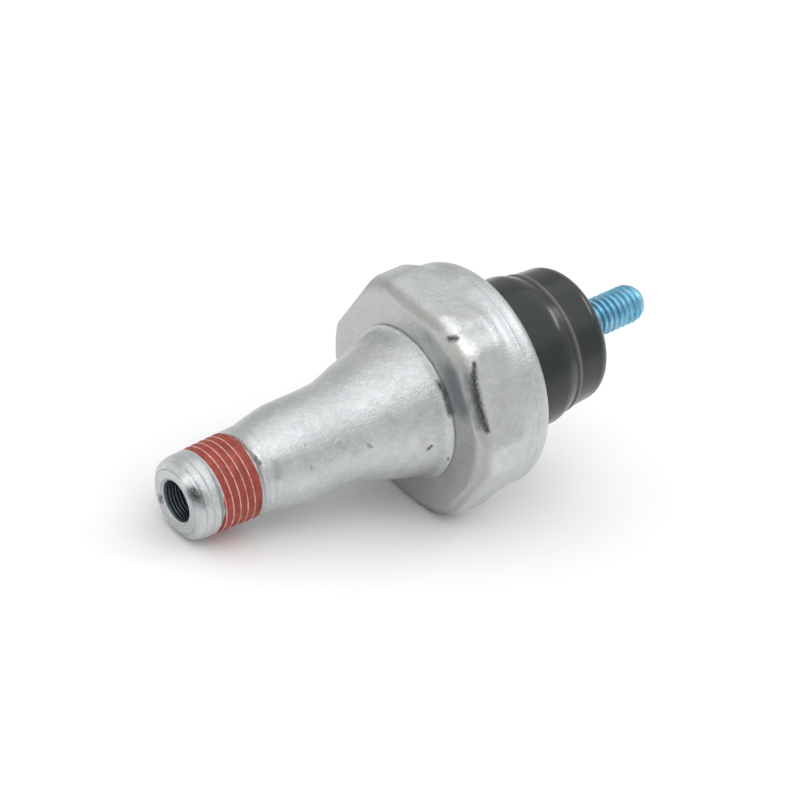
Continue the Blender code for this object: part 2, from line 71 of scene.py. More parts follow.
# Directions round the axis: the lowest flat, and the side that faces the camera
DOWN_ANGLE = 0.0
VIEW_TURN = -46.0
VIEWER_ANGLE = math.radians(VIEW_TURN - 90.0)

# Pipe thread, 27 threads to the inch
PIPE_PITCH = 25.4 / 27
PIPE_DEPTH = 0.60
PIPE_CREST_RADIUS = 4.95
PIPE_CREST_HEIGHT = 1.5
PIPE_TAPER = 1.0 / 32
PIPE_PHASE = 0.53
RUN_OUT_START = 7.9
RUN_OUT_END = 10.0

# Stud thread, 32 threads to the inch
STUD_PITCH = 25.4 / 32
STUD_DEPTH = 0.35
STUD_RADIUS = 2.33
STUD_PHASE = 0.35
STUD_CREST = 0.06
STUD_ROOT = 0.08


# Mesh building

def ease(value, start, end):
    """A smooth change from 0 at the start to 1 at the end."""
    share = np.clip((value - start) / (end - start), 0, 1)
    return share * share * (3 - 2 * share)


def ridge(height, angle, pitch, phase, crest=0.10, root=0.12):
    """Height of a right-hand thread ridge, 1 on the crest and 0 in the root."""
    turn = (height - phase) / pitch - (angle - VIEWER_ANGLE) / (2 * math.pi)
    away = np.abs(turn - np.round(turn)) * 2
    return np.clip((1 - root - away) / (1 - root - crest), 0, 1)


def ripple(height, angle, seed):
    """Smooth unevenness, mostly between -1 and 1, over the surface."""
    total = np.zeros(np.broadcast(height, angle).shape)
    dice = np.random.default_rng(seed)
    for _ in range(14):
        around = dice.integers(1, 17)
        along = dice.uniform(0.3, 2.6)
        total = total + np.sin(around * angle + along * height + dice.uniform(0, 6.28))
    return total / 5.2


def arc(radius, height, size, start, end, steps=6):
    """Points (radius, height) of an arc, with angles in degrees from the outward radius."""
    made = []
    for step in range(steps + 1):
        turn = math.radians(start + (end - start) * step / steps)
        made.append((radius + size * math.cos(turn), height + size * math.sin(turn)))
    return made


def dense(profile, most):
    """The outline with long spans cut up, so that no step along it is longer than most."""
    made = [profile[0]]
    for (r0, h0), (r1, h1) in zip(profile, profile[1:]):
        count = max(1, math.ceil(math.hypot(r1 - r0, h1 - h0) / most))
        for step in range(1, count + 1):
            share = step / count
            made.append((r0 + (r1 - r0) * share, h0 + (h1 - h0) * share))
    return made


class Rings:
    """Rings round the axis, each with a radius and a height at every angle, from one end to the other."""

    def __init__(self, steps):
        self.steps = steps
        self.angle = 2 * math.pi * np.arange(steps) / steps
        self.radii = []
        self.heights = []

    def add(self, radius, height):
        self.radii.append(np.broadcast_to(radius, self.angle.shape))
        self.heights.append(np.broadcast_to(height, self.angle.shape))

    def add_all(self, outline):
        for radius, height in outline:
            self.add(radius, height)

    def skin(self, name, sharp, closed=True):
        """The mesh over the rings. Closed, the last ring joins the first; if not, both ends get a lid."""
        radius = np.array(self.radii)
        height = np.array(self.heights)
        rows = len(radius)
        points = np.stack([radius * np.cos(self.angle), radius * np.sin(self.angle), height], axis=-1) * MM
        verts = points.reshape(-1, 3)
        column = np.arange(self.steps)
        after = (column + 1) % self.steps
        quads = []
        for row in range(rows if closed else rows - 1):
            low = row * self.steps
            high = (row + 1) % rows * self.steps
            quads.append(np.stack([low + column, low + after, high + after, high + column], axis=1))
        faces = [tuple(face) for face in np.concatenate(quads).tolist()]
        if not closed:
            first = len(verts)
            last = first + 1
            low = (rows - 1) * self.steps
            verts = np.vstack([verts, points[0].mean(axis=0), points[-1].mean(axis=0)])
            faces += [(first, int(b), int(a)) for a, b in zip(column, after)]
            faces += [(last, low + int(a), low + int(b)) for a, b in zip(column, after)]
        corners = verts[np.array([face[:3] for face in faces])]
        volume = np.einsum("ij,ij->i", corners[:, 0], np.cross(corners[:, 1], corners[:, 2])).sum()
        if volume < 0:
            faces = [face[::-1] for face in faces]
        return add_mesh(name, verts.tolist(), faces, sharp)


def add_mesh(name, verts, faces, sharp):
    """A smooth object whose edges stay sharp from the given angle in degrees."""
    mesh = bpy.data.meshes.new(name)
    mesh.from_pydata(verts, [], faces)
    mesh.shade_smooth()
    mesh.set_sharp_from_angle(angle=math.radians(sharp))
    return add_object(name, mesh)


def add_object(name, data):
    made = bpy.data.objects.new(name, data)
    bpy.context.scene.collection.objects.link(made)
    return made


def place(piece):
    """Lays the piece down where the frame has it and fixes it to the housing."""
    piece.data.transform(AXIS)
    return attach(piece, "housing")


# Port body with its tapered thread

BODY_STEPS = 180
BODY_SHARP = 30
TIP_FACE_RINGS = (2.95, 3.15, 3.35, 3.5, 3.6)

# Heights and radii of the tip's edge, whose last point lies beyond the thread
TIP_EDGE = [(0.0, 3.63), (0.02, 3.73), (0.06, 3.84), (0.10, 3.94), (0.55, 4.62), (0.64, 4.69), (9.0, 9.0)]
FLOOR_CLEARANCE = 0.0175

# The first turns are worn nearly smooth
WORN_START = 3.15
WORN_END = 2.6
WORN_CREST = 0.62
WORN_DEPTH_LOSS = 0.80
WORN_RIPPLE = 0.010
THREAD_CREST = 0.08
THREAD_ROOT = 0.12
FIRST_CUT = (0.62, 0.75)

# First height, last height and step of the threaded end's rings
THREAD_RINGS = ((0.0, 0.1, 0.02), (0.1, 0.55, 0.09), (0.55, 8.4, 0.041), (8.4, 10.0, 0.062))

# Outline from the thread's run-out to the shoulder under the shell
NECK = [
    (5.14, 10.1), (5.16, 10.25), (5.13, 10.31), (5.19, 10.45), (5.3, 11.0), (5.33, 11.1), (5.31, 11.16),
    (5.35, 11.26), (5.47, 11.75), (5.62, 12.5), (5.75, 13.3), (5.88, 14.0), (5.955, 14.5), (5.965, 14.58),
    (5.945, 14.63), (5.97, 14.70), (6.01, 15.1), (6.02, 15.6), (6.02, 19.3), (6.03, 20.0), (6.06, 20.9),
    (6.14, 21.8), (6.33, 22.7), (6.57, 23.6), (6.85, 24.4), (7.1, 25.25), (7.95, 28.3), (8.6, 30.75),
    (8.68, 31.0), (8.8, 31.25), (8.96, 31.45), (9.12, 31.57), (9.24, 31.63), (9.31, 31.69), (9.34, 31.78),
    (9.34, 31.88), (9.3, 31.98),
]
NECK_STEP = 0.35

# Swaged end inside the shell, down to the oil passage
SPIGOT = [(7.8, 31.98), (7.8, 33.8), (9.7, 33.8), (9.7, 34.4), (9.3, 34.8), (1.2, 34.8), (1.2, 17.22)]

# First height, last height and step of the oil passage's rings, plain and then ridged
PLAIN_BORE_RINGS = (17.0, 6.5, -0.9)
RIDGED_BORE_RINGS = (6.4, 0.38, -0.052)
BORE_RADIUS = 2.38
BORE_PITCH = 0.42
BORE_PHASE = 0.3
BORE_RIDGE = 0.09
BORE_RIDGES_START = (0.35, 0.7)
BORE_RIDGES_END = (5.5, 6.3)
BORE_MOUTH = [(2.42, 0.34), (2.46, 0.28), (2.6, 0.16), (2.74, 0.05), (2.82, 0.0)]


def pipe_crest(height):
    return PIPE_CREST_RADIUS + (height - PIPE_CREST_HEIGHT) * PIPE_TAPER


def thread_left(height):
    """Share of the thread's depth that is left, from 1 before the run-out to 0 at its end."""
    return 1 - ease(height, RUN_OUT_START, RUN_OUT_END)


def pipe_radius(height, angle):
    """Outer radius of the threaded end: crest cone, cut thread, worn first turns and run-out."""
    worn = 1 - ease(height, WORN_END, WORN_START)
    crest = THREAD_CREST + WORN_CREST * worn
    cut = ridge(height, angle, PIPE_PITCH, PIPE_PHASE, crest, THREAD_ROOT * (1 - worn))
    depth = PIPE_DEPTH * thread_left(height) * (1 - WORN_DEPTH_LOSS * worn)
    above_floor = TIP.z / MM / math.cos(TILT) + height * math.tan(TILT) - FLOOR_CLEARANCE
    edge = np.interp(height, *zip(*TIP_EDGE))
    whole = np.minimum(np.minimum(pipe_crest(height), above_floor), edge)
    groove = depth * (1 - cut) * ease(height, *FIRST_CUT)
    return whole - groove - WORN_RIPPLE * (1 + ripple(height, angle, seed=4)) * worn


def bore_radius(height, angle):
    cut = ridge(height, angle, BORE_PITCH, BORE_PHASE)
    fade = ease(height, *BORE_RIDGES_START) * (1 - ease(height, *BORE_RIDGES_END))
    return BORE_RADIUS - BORE_RIDGE * cut * fade


def make_port_body(steel):
    rings = Rings(BODY_STEPS)
    for radius in TIP_FACE_RINGS:
        rings.add(radius, 0.0)
    for start, end, step in THREAD_RINGS:
        for height in np.arange(start, end, step):
            rings.add(pipe_radius(height, rings.angle), height)
    rings.add_all(dense(NECK, NECK_STEP)[1:])
    rings.add_all(SPIGOT)
    for height in np.arange(*PLAIN_BORE_RINGS):
        rings.add(BORE_RADIUS, height)
    for height in np.arange(*RIDGED_BORE_RINGS):
        rings.add(bore_radius(height, rings.angle), height)
    rings.add_all(BORE_MOUTH)
    body = rings.skin("port_body_detail", BODY_SHARP)
    body.data.materials.append(steel)
    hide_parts("port_body")
    return place(body)


# Dried sealant, a thin film over the thread with softer ridges

SEALANT_STEPS = 180
SEALANT_RINGS = 124
SEALANT_SHARP = 50
SEALANT_START = 3.24
SEALANT_END = 8.32
SEALANT_WAVER = 0.03
SEALANT_DEPTH = 0.19
SEALANT_CREST = 0.08
SEALANT_ROOT = 0.22
SEALANT_FILM = 0.012
SEALANT_FILM_RIPPLE = 0.008
SEALANT_INSIDE = 4.1

# Height of the band's two edges, and the share of its length over which they rise
SEALANT_EDGE = 0.5
SEALANT_EDGE_SHARE = 0.02


def make_sealant(finish):
    rings = Rings(SEALANT_STEPS)
    angle = rings.angle
    start = SEALANT_START + SEALANT_WAVER * ripple(0.0, angle, seed=21)
    end = SEALANT_END + SEALANT_WAVER * ripple(3.0, angle, seed=22)
    for share in np.linspace(0, 1, SEALANT_RINGS):
        height = start + (end - start) * share
        cut = ridge(height, angle, PIPE_PITCH, PIPE_PHASE, SEALANT_CREST, SEALANT_ROOT)
        groove = SEALANT_DEPTH * thread_left(height) * (1 - cut)
        film = SEALANT_FILM + SEALANT_FILM_RIPPLE * ripple(height, angle, seed=23)
        rise = 1 - ease(share, 0.0, SEALANT_EDGE_SHARE) + ease(share, 1 - SEALANT_EDGE_SHARE, 1.0)
        rings.add(pipe_crest(height) + film - groove - SEALANT_EDGE * rise, height)
    for share in (1.0, 0.66, 0.33, 0.0):
        rings.add(SEALANT_INSIDE, start + (end - start) * share)
    band = rings.skin("thread_sealant_detail", SEALANT_SHARP)
    band.data.materials.append(finish)
    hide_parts("thread_sealant")
    return place(band)


# Hexagon shell

SHELL_STEPS = 384
SHELL_SHARP = 40
SHELL_FRONT = 32.0
FLAT = 13.49
CORNER = 14.6
CORNER_ROUND = 2.2
FLAT_DROP = 0.95
FLAT_SLANT = 2.4
FLAT_BLEND = 0.12
SLANT_BLEND = 0.2
FADE_START = 37.1
FADE_END = 39.9
HEX_END = 40.5
RIM = 13.55
RIM_ROUND = 2.6
SHELL_END = 43.4
SHELL_HOLE = 9.42
SEAM_DEPTH = 0.05
SEAM_WIDTH = 0.18

# Lip round the cap, then the shell's inside back to the hole in its front
SHELL_INSIDE = [
    (10.4, SHELL_END), (9.8, SHELL_END - 0.02), (9.55, SHELL_END - 0.1), (9.46, SHELL_END - 0.3),
    (9.46, 42.5), (11.3, 42.5), (12.2, 41.6), (12.2, 33.5), (8.1, 33.5), (8.1, 32.0),
]


def flat_spread(angle):
    """Distance to the nearest flat's plane along each angle, over FLAT. One flat faces down."""
    turn = (angle - DOWN_ANGLE) % (math.pi / 3)
    turn = np.minimum(turn, math.pi / 3 - turn)
    return 1 / np.cos(turn)


def soft_least(first, second, blend):
    """The smaller of two lengths, with a rounded change from one to the other."""
    share = np.clip(0.5 + 0.5 * (second - first) / blend, 0, 1)
    return second * (1 - share) + first * share - blend * share * (1 - share)


def hexagon_radius(height, spread):
    """Radius of the hexagon: a round cup whose sides are pressed flat, with a curved slant at its front."""
    deep = min(height - SHELL_FRONT, CORNER_ROUND)
    cup = CORNER - CORNER_ROUND + math.sqrt(max(CORNER_ROUND**2 - (CORNER_ROUND - deep) ** 2, 0))
    left = max(0.0, 1 - (height - SHELL_FRONT) / FLAT_SLANT)
    slant = FLAT - FLAT_DROP * left * left
    return soft_least(slant * spread, np.full_like(spread, cup), FLAT_BLEND + SLANT_BLEND * (1 - left))


def make_hex_shell(steel):
    rings = Rings(SHELL_STEPS)
    spread = flat_spread(rings.angle)
    front = hexagon_radius(SHELL_FRONT, spread)
    for share in np.linspace(0, 0.92, 5):
        rings.add(SHELL_HOLE + (front - SHELL_HOLE) * share, SHELL_FRONT)
    for turn in np.radians(np.linspace(0, 90, 34)):
        height = SHELL_FRONT + FLAT_SLANT * (1 - math.cos(turn))
        rings.add(hexagon_radius(height, spread), height)
    flats_start = SHELL_FRONT + FLAT_SLANT
    flats = hexagon_radius(flats_start, spread)
    for share in np.linspace(0.1, 1, 10):
        rings.add(flats, flats_start + (FADE_START - flats_start) * share)
    rim = np.minimum(flats, RIM)
    for share in np.linspace(0.05, 1, 20):
        height = FADE_START + (FADE_END - FADE_START) * share
        rings.add(flats + (rim - flats) * ease(share, 0.0, 1.0), height)
    for share in np.linspace(0.25, 1, 4):
        rings.add(rim, FADE_END + (HEX_END - 0.06 - FADE_END) * share)
    for share, dip in ((0.3, SEAM_DEPTH), (0.7, SEAM_DEPTH), (1.0, 0.0)):
        rings.add(rim + (RIM - rim) * share - dip, HEX_END + SEAM_WIDTH * share)
    rings.add(RIM, SHELL_END - RIM_ROUND)
    rings.add_all(arc(RIM - RIM_ROUND, SHELL_END - RIM_ROUND, RIM_ROUND, 5, 90, 18))
    rings.add_all(SHELL_INSIDE)
    shell = rings.skin("hex_shell_detail", SHELL_SHARP)
    shell.data.materials.append(steel)
    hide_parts("hex_shell")
    return place(shell)


# Insulating cap

CAP_STEPS = 160
CAP_STEP = 1.2
CAP_SHARP = 40
CAP_EDGE_ROUND = 2.0

# Flange inside the shell, then the collar, the bead and the head's side
CAP_SIDE = [
    (11.9, 39.2), (11.9, 41.6), (9.15, 41.6), (9.15, 48.35), (9.14, 48.6), (9.11, 48.85), (9.05, 49.15),
    (8.94, 49.5), (8.76, 49.95), (8.6, 50.35), (8.5, 50.62), (8.46, 50.72), (8.49, 50.80), (8.58, 50.90),
    (8.60, 51.02), (8.56, 51.14), (8.45, 51.24), (8.41, 51.6), (8.24, 54.0),
]

# Sunk mouth round the stud, then the inside
CAP_INSIDE = [
    (3.1, 56.1), (2.9, 56.05), (2.66, 55.9), (2.63, 55.6), (2.63, 53.3), (3.8, 53.3), (3.8, 49.3),
    (2.63, 49.3), (2.63, 46.7), (7.5, 46.7), (7.5, 39.2),
]


def make_cap(plastic):
    edge = arc(6.24, 54.1, CAP_EDGE_ROUND, 0, 90, 14)
    rings = Rings(CAP_STEPS)
    rings.add_all(dense(CAP_SIDE + edge + CAP_INSIDE, CAP_STEP))
    cap = rings.skin("insulator_cap_detail", CAP_SHARP)
    cap.data.materials.append(plastic)
    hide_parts("insulator_cap")
    return place(cap)


# Terminal stud

STUD_STEPS = 128
STUD_SHARP = 75
STUD_THREAD_RINGS = (55.5, 66.66, 0.058)
STUD_END = (0.6, 66.68)
STUD_HEAD = [(4.0, 45.2), (4.2, 45.4), (4.2, 46.2), (4.0, 46.4), (2.33, 46.4), (2.33, 49.6)]
KNURL_RADIUS = 3.33
KNURL_DEPTH = 0.17
KNURL_TEETH = 16
KNURL_START = 49.6
KNURL_END = 53.0
SHANK_END = 55.4
THREAD_FADE = (55.6, 56.9)

# Heights and radii of the rounded nose
STUD_NOSE = [(64.85, 2.4), (65.5, 2.18), (66.1, 1.85), (66.42, 1.56), (66.65, 1.2)]


def make_stud(finish):
    rings = Rings(STUD_STEPS)
    rings.add_all(STUD_HEAD)
    knurl = KNURL_RADIUS + KNURL_DEPTH * np.sign(np.cos(KNURL_TEETH * rings.angle))
    rings.add(knurl, KNURL_START)
    rings.add(knurl, KNURL_END)
    rings.add(STUD_RADIUS, KNURL_END)
    rings.add(STUD_RADIUS, SHANK_END)
    for height in np.arange(*STUD_THREAD_RINGS):
        cut = ease(ridge(height, rings.angle, STUD_PITCH, STUD_PHASE, STUD_CREST, STUD_ROOT), 0.0, 1.0)
        groove = STUD_DEPTH * ease(height, *THREAD_FADE) * (1 - cut)
        nose = np.interp(height, *zip(*STUD_NOSE))
        rings.add(np.minimum(STUD_RADIUS - groove, nose), height)
    rings.add(*STUD_END)
    stud = rings.skin("terminal_stud_detail", STUD_SHARP, closed=False)
    stud.data.materials.append(finish)
    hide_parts("terminal_stud")
    return place(stud)


# Contact spring, a smooth coil in place of the faceted one

SPRING_START = 40.35
SPRING_END = 43.85
SPRING_WIRE = 0.25
SPRING_RADIUS = 2.65
SPRING_TURNS = 5
SPRING_END_PITCH = 0.62


def spring_height(turn):
    """Height of the wire after that many turns, with a close turn at either end."""
    if turn <= 1:
        return SPRING_START + SPRING_END_PITCH * turn
    if turn >= SPRING_TURNS - 1:
        return SPRING_END - SPRING_END_PITCH * (SPRING_TURNS - turn)
    free = SPRING_END - SPRING_START - 2 * SPRING_END_PITCH
    return SPRING_START + SPRING_END_PITCH + free * (turn - 1) / (SPRING_TURNS - 2)


def make_spring(finish):
    steps_per_turn = 48
    sides = 14
    count = steps_per_turn * SPRING_TURNS
    around = 2 * math.pi * np.arange(sides) / sides
    rows = []
    for index in range(count + 1):
        turn = index / steps_per_turn
        angle = 2 * math.pi * turn
        reach = SPRING_RADIUS + SPRING_WIRE * np.cos(around)
        height = spring_height(turn) + SPRING_WIRE * np.sin(around)
        rows.append(np.stack([reach * math.cos(angle), reach * math.sin(angle), height], 1))
    faces = []
    for row in range(count):
        low = row * sides
        high = low + sides
        for side in range(sides):
            after = (side + 1) % sides
            faces.append((low + side, low + after, high + after, high + side))
    faces.append(tuple(range(sides))[::-1])
    faces.append(tuple(range(count * sides, (count + 1) * sides)))
    points = np.concatenate(rows) * MM
    spring = add_mesh("contact_spring_detail", points.tolist(), faces, 50)
    spring.data.materials.append(finish)
    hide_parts("contact_spring")
    place(spring)
    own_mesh(spring)
    return spring


# Shader nodes

def new_material(name):
    made = bpy.data.materials.new(name)
    made.use_nodes = True
    tree = made.node_tree
    return made, tree, tree.nodes["Principled BSDF"]


def add_node(tree, kind, **values):
    made = tree.nodes.new(kind)
    for name, value in values.items():
        if name in made.inputs:
            made.inputs[name].default_value = value
        else:
            setattr(made, name, value)
    return made


def feed(tree, socket, source):
    """Links a socket to another node's output, or sets it to a plain value."""
    if hasattr(source, "links"):
        tree.links.new(source, socket)
    else:
        socket.default_value = source


def noise(tree, coords, scale, detail=4.0, roughness=0.55):
    made = add_node(tree, "ShaderNodeTexNoise", Scale=scale, Detail=detail, Roughness=roughness)
    tree.links.new(coords, made.inputs["Vector"])
    return made.outputs["Fac"]


def stretched(tree, coords, scale):
    made = add_node(tree, "ShaderNodeMapping")
    made.inputs["Scale"].default_value = scale
    tree.links.new(coords, made.inputs["Vector"])
    return made.outputs["Vector"]


def ramp(tree, source, stops):
    made = add_node(tree, "ShaderNodeValToRGB")
    points = made.color_ramp.elements
    while len(points) < len(stops):
        points.new(0.5)
    for point, (position, colour) in zip(points, stops):
        point.position = position
        point.color = (*colour[:3], 1.0)
    tree.links.new(source, made.inputs["Fac"])
    return made.outputs["Color"]


def grey(value):
    return (value, value, value)


def mix(tree, factor, first, second):
    """The first colour with the second laid over it by the factor."""
    made = add_node(tree, "ShaderNodeMix", data_type="RGBA", blend_type="MIX")
    colours = [(*one, 1.0) if isinstance(one, tuple) else one for one in (first, second)]
    feed(tree, made.inputs[0], factor)
    feed(tree, made.inputs[6], colours[0])
    feed(tree, made.inputs[7], colours[1])
    return made.outputs[2]


def maths(tree, operation, first, second=0.0):
    """The result of a Math node."""
    made = add_node(tree, "ShaderNodeMath", operation=operation)
    feed(tree, made.inputs[0], first)
    feed(tree, made.inputs[1], second)
    return made.outputs["Value"]


def bump(tree, shader, height, strength, distance):
    made = add_node(tree, "ShaderNodeBump", Strength=strength, Distance=distance)
    tree.links.new(height, made.inputs["Height"])
    tree.links.new(made.outputs["Normal"], shader.inputs["Normal"])


def axis_coords(tree):
    """Coordinates along the sender's own axis, from the tip, in metres."""
    source = add_node(tree, "ShaderNodeTexCoord").outputs["Object"]
    back = AXIS.inverted()
    mapped = add_node(tree, "ShaderNodeMapping")
    mapped.inputs["Location"].default_value = back.to_translation()
    mapped.inputs["Rotation"].default_value = back.to_euler()
    tree.links.new(source, mapped.inputs["Vector"])
    return mapped.outputs["Vector"]


def parts_of(tree, coords):
    """The three coordinates, each as an output of its own."""
    made = add_node(tree, "ShaderNodeSeparateXYZ")
    tree.links.new(coords, made.inputs["Vector"])
    return made.outputs


def clamped(tree, value):
    return maths(tree, "MINIMUM", maths(tree, "MAXIMUM", value, 0.0), 1.0)


def falloff(tree, away, reach):
    """1 where away is 0, and down to 0 at the reach."""
    left = maths(tree, "SUBTRACT", 1.0, maths(tree, "DIVIDE", away, reach))
    return maths(tree, "MAXIMUM", left, 0.0)


def band(tree, height, middle, half):
    """1 at one height along the axis, and down to 0 at half the band's width to either side."""
    away = maths(tree, "ABSOLUTE", maths(tree, "SUBTRACT", height, middle * MM))
    return falloff(tree, away, half * MM)


# Marks on the plate: stains, nicks and spots, with painted highlights, painted shade and painted dark reflections

def path(points, sizes, strength):
    """Marks from each point to the next, with a size for each."""
    return [(first, last, size, strength) for first, last, size in zip(points, points[1:], sizes)]


# Each point is a height, an angle from the far side and a radius
# The crescent and the shade round it are painted dark reflections in the flare between the neck and the shell
CRESCENT = [(31.62, 91, 9.2), (31.74, 84, 9.25), (31.70, 70, 9.25)]
CRESCENT_SHADE = [(31.60, 93, 9.15), (31.72, 84, 9.2), (31.64, 68, 9.2)]
BODY_MARKS = {
    "shade": {
        # Painted dark reflection round the tip's dark patch
        "round the tip's patch": path([(0.2, 96, 4.3), (0.5, 76, 4.5)], [1.5], 1.0),
        # Painted dark reflection round the shoulder's crescent
        "round the crescent": path(CRESCENT_SHADE, [0.60, 0.62], 1.1),
        "patch on the collar": path([(10.7, 86, 5.25), (10.6, 66, 5.25)], [0.8], 0.45),
        "stain low on the neck": path([(18.58, 77, 6.02), (19.2, 70, 6.02)], [1.0], 0.34),
        "stain beside it": path([(20.2, 61, 6.04), (20.6, 58, 6.04)], [0.8], 0.34),
        "stain high on the neck": path([(25.1, 85, 7.06), (25.6, 78, 7.1)], [1.0], 0.34),
    },
    "highlights": {
        # A painted highlight on the edge of the tip's chamfer
        "highlight on the tip's edge": path([(0.25, 112, 4.2), (0.4, 103, 4.3)], [1.2], 1.0),
    },
    "dark": {
        "patch on the tip": path([(0.20, 92, 4.2), (0.40, 85, 4.4)], [1.05], 1.0),
        "its edge": path([(0.45, 97, 4.5), (0.60, 90, 4.6)], [0.5], 0.9),
        "spot beside the bore": path([(0.0, 247, 2.95), (0.0, 256, 3.1)], [0.65], 0.9),
        "smear past the sealant": path([(8.80, 101, 5.05), (8.95, 91, 5.05)], [0.45], 0.75),
        # Painted dark reflection in the shoulder's flare
        "crescent on the shoulder": path(CRESCENT, [0.38, 0.42], 1.0),
        "nick on the neck": path([(29.02, 42.4, 8.1), (29.38, 44.9, 8.22)], [0.36], 1.0),
        "line at the collar's end": path([(14.6, 92, 5.95), (14.5, 62, 5.95)], [0.20], 0.6),
        "spot on the neck": path([(22.1, 63, 6.2), (22.4, 60, 6.25)], [0.45], 0.55),
        "speck on the shoulder": path([(31.5, 31, 9.1), (31.6, 28, 9.1)], [0.25], 0.8),
    },
}
# A painted dark reflection along the front edge of a flat, and the lip beside it where a painted highlight runs
DARK_REFLECTION_STREAK = [
    (33.85, 92.9, 14.2), (33.46, 88.6, 13.8), (33.24, 84.0, 13.5),
    (33.12, 76.0, 13.25), (33.18, 66.0, 13.4), (33.24, 60.5, 13.6),
]
DARK_REFLECTION_STREAK_SIZES = [0.55, 0.74, 0.82, 0.78, 0.62]
DARK_REFLECTION_STREAK_LIP = [(32.75, 90.0, 13.3), (32.50, 78.0, 12.95), (32.42, 66.0, 12.95)]
SHELL_MARKS = {
    "shade": {
        # Painted dark reflection on the shell's front next to the neck, with its thin end
        "dark reflection on the front": path([(32.0, 93, 11.7), (32.0, 74, 11.5)], [2.8], 1.15),
        "its thin end": path([(32.0, 118, 11.6), (32.0, 100, 11.7)], [2.0], 0.42),
        # Painted dark reflection round the streak
        "shade round the dark reflection streak": path([(32.9, 88, 13.3), (32.8, 64, 13.2)], [1.2], 1.0),
        # Painted shade along the corner band between two flats
        "shade along the corner": path([(35.0, 106.5, 14.6), (38.6, 106.5, 14.4)], [1.6], 0.36),
    },
    "highlights": {
        # Painted highlights on the front of the corner between two flats, and along the lip of the dark streak
        "highlight on the corner": path([(33.25, 103.0, 14.3), (33.80, 97.0, 14.3)], [1.7], 1.0),
        "highlight on the edge above it": path([(33.55, 112.5, 14.3), (33.80, 117.0, 14.2)], [1.5], 1.0),
        "highlight on the dark reflection streak's lip": path(DARK_REFLECTION_STREAK_LIP, [0.24, 0.22], 0.75),
    },
    "dark": {
        "tick on the corner": path([(32.72, 108, 14.0), (33.30, 106.5, 14.4)], [0.62], 1.0),
        # The painted dark reflection along the flat's front edge
        "dark reflection streak": path(DARK_REFLECTION_STREAK, DARK_REFLECTION_STREAK_SIZES, 1.0),
    },
}


def on_axis(height, around, radius):
    """A point beside the axis, from its height, its angle in degrees from the far side, and its radius."""
    turn = math.radians(VIEW_TURN - around)
    return Vector((radius * math.cos(turn), radius * math.sin(turn), height)) * MM


def mark(tree, coords, first, last, size, strength):
    """The strength on a line between two places on the plate, and 0 beyond its size."""
    start = on_axis(*first)
    line = on_axis(*last) - start
    away = add_node(tree, "ShaderNodeVectorMath", operation="SUBTRACT")
    away.inputs[1].default_value = start
    tree.links.new(coords, away.inputs[0])
    along = add_node(tree, "ShaderNodeVectorMath", operation="DOT_PRODUCT")
    along.inputs[1].default_value = line / line.length_squared
    tree.links.new(away.outputs["Vector"], along.inputs[0])
    near = add_node(tree, "ShaderNodeVectorMath", operation="SCALE")
    near.inputs[0].default_value = line
    tree.links.new(clamped(tree, along.outputs["Value"]), near.inputs["Scale"])
    gap = add_node(tree, "ShaderNodeVectorMath", operation="DISTANCE")
    tree.links.new(away.outputs["Vector"], gap.inputs[0])
    tree.links.new(near.outputs["Vector"], gap.inputs[1])
    return maths(tree, "MULTIPLY", falloff(tree, gap.outputs["Value"], size * MM), strength)


def marks(tree, coords, places, grain, most, uneven):
    """Ragged marks at several places, as one factor from 0 to the most."""
    total = 0.0
    for lines in places.values():
        for line in lines:
            total = maths(tree, "MAXIMUM", mark(tree, coords, *line), total)
    rough = maths(tree, "MULTIPLY", maths(tree, "SUBTRACT", grain, 0.5), uneven)
    here = maths(tree, "MINIMUM", maths(tree, "MULTIPLY", total, 3.0), 1.0)
    ragged = maths(tree, "ADD", total, maths(tree, "MULTIPLY", rough, here))
    return ramp(tree, ragged, [(0.14, grey(0)), (0.90, grey(most))])


# Zinc plate

PLATE_TONES = [(0.30, (0.56, 0.58, 0.59)), (0.52, (0.61, 0.63, 0.64)), (0.72, (0.66, 0.675, 0.68))]
# Colour of the pale flecks painted as glints
GLINT_FLECK_TONE = (0.84, 0.85, 0.85)
PORE_TONE = (0.42, 0.41, 0.39)
PALE_MOTTLE_TONE = (0.80, 0.81, 0.82)
DARK_MOTTLE_TONE = (0.43, 0.43, 0.42)
STAIN_TONE = (0.40, 0.36, 0.31)
# Colour of the painted highlights
PAINTED_HIGHLIGHT_TONE = (0.93, 0.94, 0.94)
# Colour of the painted shade in the shell's crease
CREASE_SHADE_TONE = (0.40, 0.39, 0.37)
FACE_EDGE_TONE = (0.24, 0.225, 0.21)
# SHADE_TONE colours stains, painted shade and painted dark reflections; DARK_TONE colours nicks, spots and painted
# dark reflections
SHADE_TONE = (0.14, 0.165, 0.175)
DARK_TONE = (0.06, 0.06, 0.058)
# Colour of the painted shade inside the oil passage
BORE_SHADE_TONE = (0.085, 0.115, 0.125)

# Painted shade in the crease between the shell's front and its flats
CREASE_HEIGHT = 32.62
CREASE_HALF_WIDTH = 0.85

# Dirt on the edge of the tip's face
FACE_EDGE_HEIGHT = 0.07
FACE_EDGE_HALF_WIDTH = 0.075

# Painted shade darkens the oil passage inside this radius and below this height
BORE_DARK_RADIUS = 2.56
BORE_DARK_BLEND = 0.10
BORE_DARK_END = 31.0


def within_bore(tree, coords):
    """1 inside the oil passage, where the plate gets painted shade, and 0 outside it."""
    x, y, height = parts_of(tree, coords)
    squares = maths(tree, "ADD", maths(tree, "MULTIPLY", x, x), maths(tree, "MULTIPLY", y, y))
    inward = maths(tree, "SUBTRACT", BORE_DARK_RADIUS * MM, maths(tree, "SQRT", squares))
    share = clamped(tree, maths(tree, "DIVIDE", inward, BORE_DARK_BLEND * MM))
    return maths(tree, "MULTIPLY", share, maths(tree, "LESS_THAN", height, BORE_DARK_END * MM))


